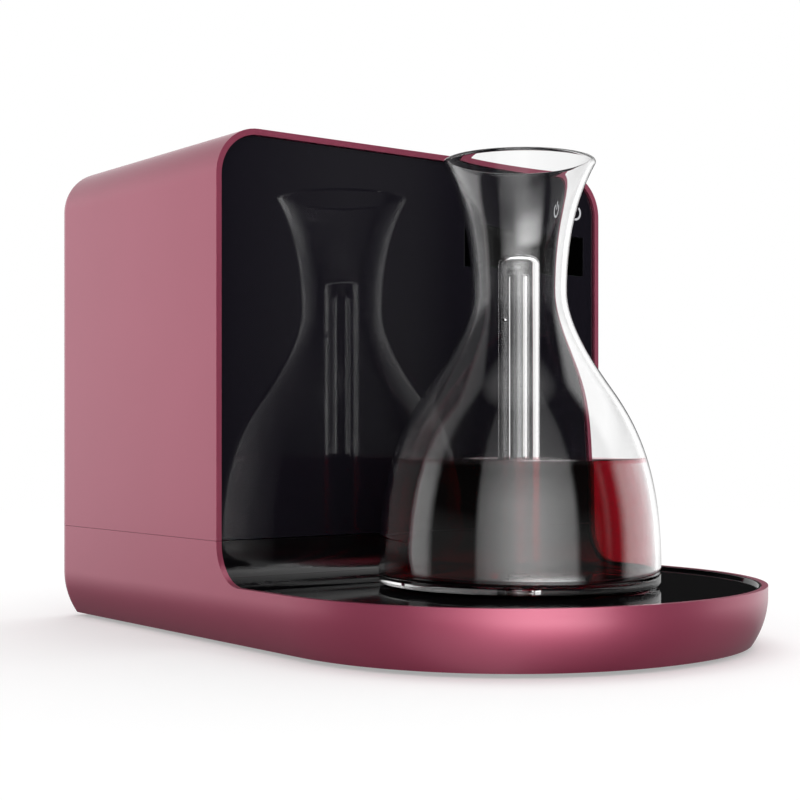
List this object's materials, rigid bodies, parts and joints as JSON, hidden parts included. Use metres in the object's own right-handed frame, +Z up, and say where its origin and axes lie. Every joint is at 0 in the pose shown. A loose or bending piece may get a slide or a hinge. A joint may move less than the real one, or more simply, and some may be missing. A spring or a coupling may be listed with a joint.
{
  "type": "electric wine decanter",
  "caption": "Countertop electric wine decanter: arched metal housing with a black front panel and a half-round tray that feeds oxygen to a lift-off glass carafe.",
  "frame": {"origin": "on the table, in the middle of the outline of housing and tray seen from above", "axes": "+X to the right seen from the front, +Y to the rear of the housing, +Z up; the carafe stands at the front, towards -Y"},
  "size_m": [0.256, 0.364, 0.252],
  "materials": {
    "anodised_shell": "satin anodised, burgundy",
    "gloss_black": "high gloss",
    "panel_glass": "black glass, polished",
    "display_glass": "display window, polished",
    "clear_glass": "clear blown glass",
    "black_plastic": "moulded, fine texture",
    "white_plastic": "moulded",
    "rubber": "matte",
    "silicone": "translucent silicone tube",
    "lead_jacket": "satin cable jacket",
    "steel": "bright",
    "aluminium": "machined",
    "brass": "machined",
    "copper": "enamelled copper winding",
    "circuit_board": "solder mask"
  },
  "bodies": {
    "housing": {"base_shell": "anodised_shell", "upper_cover": "anodised_shell", "base_plate": "black_plastic", "foot_rear_left": "rubber", "foot_rear_right": "rubber", "foot_front_left": "rubber", "foot_front_right": "rubber", "base_screw_rear_left": "steel", "base_screw_rear_right": "steel", "base_screw_front_left": "steel", "base_screw_front_right": "steel", "tray_liner": "gloss_black", "seat_gasket": "rubber", "gas_nozzle": "steel", "nozzle_o_ring": "rubber", "front_panel": "panel_glass", "display_window": "display_glass", "display_board": "circuit_board", "touch_board": "circuit_board", "rear_cover": "black_plastic", "rear_screw_lower_left": "steel", "rear_screw_lower_right": "steel", "rear_screw_upper_left": "steel", "rear_screw_upper_right": "steel", "fan_frame": "black_plastic", "mains_inlet": "black_plastic", "inlet_pin_left": "brass", "inlet_pin_right": "brass", "isolator_1": "rubber", "isolator_2": "rubber", "isolator_3": "rubber", "isolator_4": "rubber", "compressor_bracket": "steel", "return_spring": "steel", "magnet_core": "steel", "magnet_coil": "copper", "compressor_cylinder": "aluminium", "compressor_head": "aluminium", "column_saddle": "black_plastic", "oxygen_column_left": "aluminium", "oxygen_column_right": "aluminium", "column_cap_left": "white_plastic", "column_cap_right": "white_plastic", "valve_block": "brass", "solenoid_left": "copper", "solenoid_right": "copper", "power_board": "circuit_board", "transformer": "copper", "control_board": "circuit_board", "intake_filter": "white_plastic", "intake_hose": "silicone", "delivery_hose": "silicone", "product_hose": "silicone", "mains_lead": "lead_jacket"},
    "carafe": {"carafe": "clear_glass", "riser_tube": "clear_glass", "aeration_tube": "clear_glass"},
    "fan_rotor": {"fan_rotor": "black_plastic"},
    "piston": {"piston_shuttle": "steel"}
  },
  "joints": [
    {"name": "carafe_lift", "type": "slide", "parent": "housing", "child": "carafe", "axis": [0, 0, 1], "range_m": [0, 0.1]},
    {"name": "fan_spin", "type": "hinge", "parent": "housing", "child": "fan_rotor", "pos_m": [-0.05, 0.1685, 0.116], "axis": [0, 1, 0], "continuous": true},
    {"name": "piston_stroke", "type": "slide", "parent": "housing", "child": "piston", "axis": [0, 0, 1], "range_m": [-0.005, 0.005], "stiffness_N_per_m": 6000, "deforming": ["return_spring"]}
  ]
}
